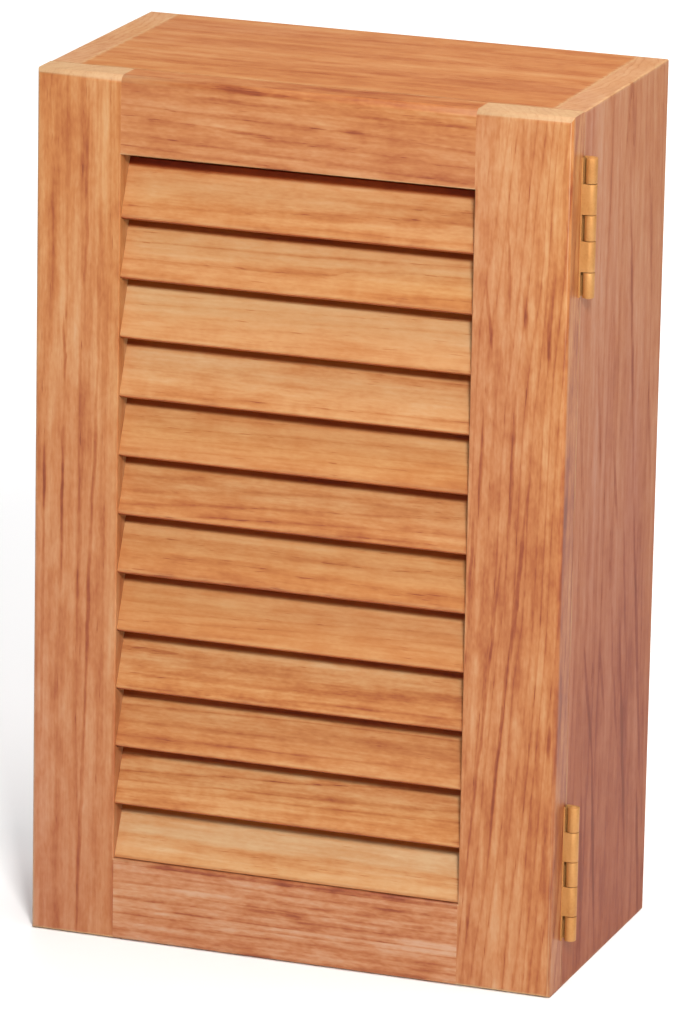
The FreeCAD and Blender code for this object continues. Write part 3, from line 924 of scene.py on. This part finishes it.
slat_teak, tree, shader = new_finish("slat_teak")
plank = new_node(tree, "ShaderNodeAttribute", attribute_name="plank_place").outputs["Vector"]
along_slat = each_axis(tree, plank)[0]
up_slat = each_axis(tree, plank)[1]
number = mark_of(tree, "slat_number")
figure = mark_of(tree, "figure")
in_door = new_node(tree, "ShaderNodeTexCoord").outputs
facing = each_axis(tree, in_door["Normal"])
height = each_axis(tree, in_door["Object"])[2]

# each slat comes from further along the log, and from its own side of the heart
log_step = (1.37, 0, 0)
steps_along = new_node(tree, "ShaderNodeVectorMath", {0: log_step, "Scale": number}, operation="SCALE")
in_log = new_node(tree, "ShaderNodeVectorMath", {0: plank, 1: steps_along.outputs[0]}, operation="ADD")
turn_of_log = reckon(tree, "FRACT", reckon(tree, "MULTIPLY", number, 0.618))
depth_of_log = reckon(tree, "FRACT", reckon(tree, "MULTIPLY", number, 0.377))

# painted light: paler towards its upper edge, to lift the shade from the slat above; and rubbed just above
# its lower one
painted_light_rise = 0.17
rubbed_edge = (0.0026, 0.0014)
slat_rubbed_share = 0.4
paleness_and_painted_light = reckon(tree, "ADD", mark_of(tree, "paleness"), -painted_light_rise / 2)
paleness_and_painted_light = reckon(tree, "MULTIPLY_ADD", reckon(tree, "DIVIDE", up_slat, slat_width), painted_light_rise, paleness_and_painted_light)
rubbed = reckon(tree, "MULTIPLY", fade(tree, up_slat, *rubbed_edge), slat_rubbed_share)

# painted shade on each slat: underneath, in the slot under the slat above, beside the hinge stile, along the
# bottom rail, and along its lower arris
painted_slat_shade = 0.0
for reading, clean_at, shaded_at, share in (
    (facing[2], -0.1, -0.75, 1.0),
    (up_slat, slat_width - 0.0056, slat_width - 0.0032, 1.0),
    (along_slat, visible_length - 0.0024, visible_length - 0.0010, 0.35),
    (height, slat_foot + 0.0020, slat_foot, 0.6),
    (up_slat, 0.0013, 0.0002, 0.5),
):
    spot = reckon(tree, "MULTIPLY", fade(tree, reading, clean_at, shaded_at), share)
    painted_slat_shade = reckon(tree, "MAXIMUM", spot, painted_slat_shade)

# painted shade, darkest in the slot under the slat above, and more so under the top rail
painted_slot_shade = 0.0
for reading, clean_at, darkest_at, share in (
    (up_slat, slat_width - 0.0040, slat_width - 0.0028, 0.15),
    (height, opening_top - 0.0075, opening_top - 0.0045, 0.26),
):
    painted_slot_shade = reckon(tree, "MULTIPLY_ADD", fade(tree, reading, clean_at, darkest_at), share, painted_slot_shade)

finish_wood(tree, shader, new_node(tree, "ShaderNodeGroup", {
    "Place": in_log.outputs[0],
    "End Grain": end_grain(tree, facing[0]),
    "Worn": rubbed,
    "Painted Shade": painted_slat_shade,
    "Pale": paleness_and_painted_light,
    "Rosy": -0.3,
    "Ring Width": 0.0046,
    "Ring Strength": figure,
    "Heart Across": reckon(tree, "MULTIPLY_ADD", turn_of_log, 0.07, -0.02),
    "Heart Deep": reckon(tree, "MULTIPLY_ADD", depth_of_log, 0.02, 0.012),
    "Slant": reckon(tree, "MULTIPLY_ADD", depth_of_log, -0.07, 0.045),
    "Stain And Shade": painted_slot_shade,
    "Streaks": reckon(tree, "MULTIPLY_ADD", figure, 0.7, 0.5),
}, node_tree=teak))

slat_front = stile_low[1] + slat_front_recess
top_of_slats = opening_top - slat_set_down
slat_numbers = [float(number) for number in range(1, slat_count + 1)]
slats = points_piece(
    "louvre_slats",
    [(slat_left, slat_front, top_of_slats - number * slat_pitch) for number in slat_numbers],
    {"slat_number": slat_numbers, "paleness": slat_paleness, "figure": slat_figure},
)
run_nodes(slats, make_slat_tree(), {
    "Length": slat_length,
    "Width": slat_width,
    "Thickness": slat_thickness,
    "Edge Round": slat_edge_round,
    "Lean": slat_lean,
    "Foot": slat_foot,
    "Top Slat": opening_top - slat_pitch / 2,
    "Top Slat Lap": top_slat_lap,
    "Waver": slat_waver,
    "Finish": slat_teak,
})
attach(slats, "door")
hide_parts(*[f"louvre_slat_{number:02d}" for number in range(1, slat_count + 1)])


# ---- Hinges -------------------------------------------------------------------------------
# Two brass butt hinges of five rolled knuckles on a pin with domed heads. The leaves are
# let into the edge of the case and the back of the door.

leaf_ease = 0.00018

hinge_brass = make_brass("hinge_brass", 2)
for height in ("lower", "upper"):
    for leaf in ("case_leaf", "door_leaf"):
        dress(f"{height}_hinge_{leaf}", hinge_brass, leaf_ease)
    dress(f"{height}_hinge_pin", hinge_brass)


# ---- Screws -------------------------------------------------------------------------------
# Countersunk brass wood screws with slotted heads hold the hinge leaves, the back panel, the
# catch and its plate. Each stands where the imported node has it, turned as it came to rest.

screw_head = 0.0056
screw_shank = 0.0030
screw_tip = 0.0006
screw_tip_length = 0.003
screw_slot_width = 0.0008
screw_slot_depth = 0.0008


def make_screw_tree():
    """A slotted countersunk screw on each point, driven along the aim, turned at random."""
    tree, given = open_tree("wood_screws", "GeometryNodeTree", (
        ("Points", "Geometry", None),
        ("Aim", "Vector", None),
        ("Length", "Float", 0.012),
        ("Head", "Float", screw_head),
        ("Shank", "Float", screw_shank),
        ("Tip", "Float", screw_tip),
        ("Tip Length", "Float", screw_tip_length),
        ("Slot Width", "Float", screw_slot_width),
        ("Slot Depth", "Float", screw_slot_depth),
        ("Seed", "Int", 1),
        ("Finish", "Material", None),
    ), (("Screws", "Geometry"),))
    head_radius = reckon(tree, "MULTIPLY", given["Head"], 0.5)
    shank_radius = reckon(tree, "MULTIPLY", given["Shank"], 0.5)
    tip_radius = reckon(tree, "MULTIPLY", given["Tip"], 0.5)
    sink = reckon(tree, "SUBTRACT", head_radius, shank_radius)
    shoulder = reckon(tree, "SUBTRACT", given["Length"], given["Tip Length"])

    def cone(low_radius, high_radius, start, length):
        """A closed cone from start, along the screw."""
        made = new_node(tree, "GeometryNodeMeshCone", {
            "Vertices": 40,
            "Radius Bottom": low_radius,
            "Radius Top": high_radius,
            "Depth": length,
        })
        shifted = new_node(tree, "GeometryNodeTransform", {
            "Geometry": made.outputs["Mesh"],
            "Translation": vector_of(tree, 0.0, 0.0, start),
        })
        return shifted.outputs["Geometry"]

    countersink = cone(head_radius, shank_radius, 0.0, sink)
    shank = cone(shank_radius, shank_radius, sink, reckon(tree, "SUBTRACT", shoulder, sink))
    tip = cone(shank_radius, tip_radius, shoulder, given["Tip Length"])
    slot_height = reckon(tree, "MULTIPLY", given["Slot Depth"], 2.0)
    slot_reach = reckon(tree, "MULTIPLY", given["Head"], 1.5)
    cutter = new_node(tree, "GeometryNodeMeshCube", {
        "Size": vector_of(tree, given["Slot Width"], slot_reach, slot_height),
    })
    slotted = new_node(tree, "GeometryNodeMeshBoolean", {
        "Mesh 1": countersink,
        "Mesh 2": cutter.outputs["Mesh"],
    }, operation="DIFFERENCE", solver="EXACT")
    whole = new_node(tree, "GeometryNodeJoinGeometry")
    for part in (slotted.outputs["Mesh"], shank, tip):
        feed(tree, whole.inputs["Geometry"], part)

    # inputs[3] and outputs[1] are the greatest value and the result, for plain numbers
    turn = new_node(tree, "FunctionNodeRandomValue", {3: math.tau, "Seed": given["Seed"]}, data_type="FLOAT")
    spin = new_node(tree, "FunctionNodeEulerToRotation", {
        "Euler": vector_of(tree, 0.0, 0.0, turn.outputs[1]),
    })
    driven = new_node(tree, "FunctionNodeAlignRotationToVector", {"Vector": given["Aim"]}, axis="Z")
    turned = new_node(tree, "FunctionNodeRotateRotation", {
        "Rotation": driven.outputs["Rotation"],
        "Rotate By": spin.outputs["Rotation"],
    }, rotation_space="LOCAL")
    screws = stand_on_points(tree, given, whole.outputs["Geometry"], turned.outputs["Rotation"])
    hand_over(tree, given, screws, "Screws")
    return tree


def screw_heads(node, aim):
    """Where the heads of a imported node's screws are, and how long the screws are."""
    solid = bmesh.new()
    solid.from_mesh(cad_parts[node].data)
    bmesh.ops.remove_doubles(solid, verts=solid.verts, dist=weld_reach)
    waiting = set(solid.verts)
    heads = []
    length = 0.0
    while waiting:
        ready = [waiting.pop()]
        screw = []
        while ready:
            corner = ready.pop()
            screw.append(corner.co.copy())
            for edge in corner.link_edges:
                other = edge.other_vert(corner)
                if other in waiting:
                    waiting.remove(other)
                    ready.append(other)
        low = Vector([min(corner[axis] for corner in screw) for axis in range(3)])
        high = Vector([max(corner[axis] for corner in screw) for axis in range(3)])
        length = abs((high - low).dot(aim))
        heads.append((low + high) / 2 - aim * length / 2)
    solid.free()
    return sorted(heads, key=lambda head: (round(head.z, 4), round(head.x, 4))), length


screw_brass = make_brass("screw_brass", 1)
screw_tree = make_screw_tree()
for seed, (node, body, aim) in enumerate((
    ("case_leaf_screws", "case", (0, 1, 0)),
    ("door_leaf_screws", "door", (0, -1, 0)),
    ("back_panel_screws", "case", (0, -1, 0)),
    ("catch_screws", "case", (-1, 0, 0)),
    ("strike_plate_screws", "door", (0, -1, 0)),
)):
    heads, length = screw_heads(node, Vector(aim))
    screws = points_piece("brass_" + node, heads, {})
    run_nodes(screws, screw_tree, {"Aim": aim, "Length": length, "Seed": seed, "Finish": screw_brass})
    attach(screws, body)
    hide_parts(node)


# ---- Magnetic catch -----------------------------------------------------------------------
# A moulded brown block with a ferrite magnet between two steel poles is screwed to the left
# side, and a zinc-plated steel plate on the door meets it.

fine_bump = (0.3, 0.00005)
block_ease = 0.0004
ground_ease = 0.0001
plate_ease = 0.0002


def plain_finish(name, low_tone, high_tone, grain, roughness, metallic):
    """A moulded, ground or plated surface: fine speckle in tone, roughness and bump."""
    material, tree, shader = new_finish(name)
    place = place_on_piece(tree)
    fine = fibres(tree, place, grain, grain, 2)
    broad = fibres(tree, place, 90, 90)
    tone = reckon(tree, "MULTIPLY_ADD", fine, 0.25, reckon(tree, "MULTIPLY_ADD", broad, 0.25, 0.5))
    feed(tree, shader["Base Color"], tone_ramp(tree, tone, [(0.0, low_tone), (1.0, high_tone)]))
    feed(tree, shader["Roughness"], reckon(tree, "MULTIPLY_ADD", fine, 0.08, roughness))
    shader["Metallic"].default_value = metallic
    add_bump(tree, shader, fine, *fine_bump)
    return material


catch_plastic = plain_finish("catch_plastic", paint(52, 33, 24), paint(76, 50, 38), 2500, 0.45, 0.0)
ferrite = plain_finish("ferrite", paint(40, 40, 42), paint(66, 66, 70), 3500, 0.6, 0.0)
zinc_plate = plain_finish("zinc_plate", paint(168, 172, 178), paint(214, 216, 218), 1200, 0.32, 1.0)
dress("catch_body", catch_plastic, block_ease)
dress("catch_magnet", ferrite, ground_ease)
dress("catch_pole_plates", zinc_plate, ground_ease)
dress("catch_strike_plate", zinc_plate, plate_ease)
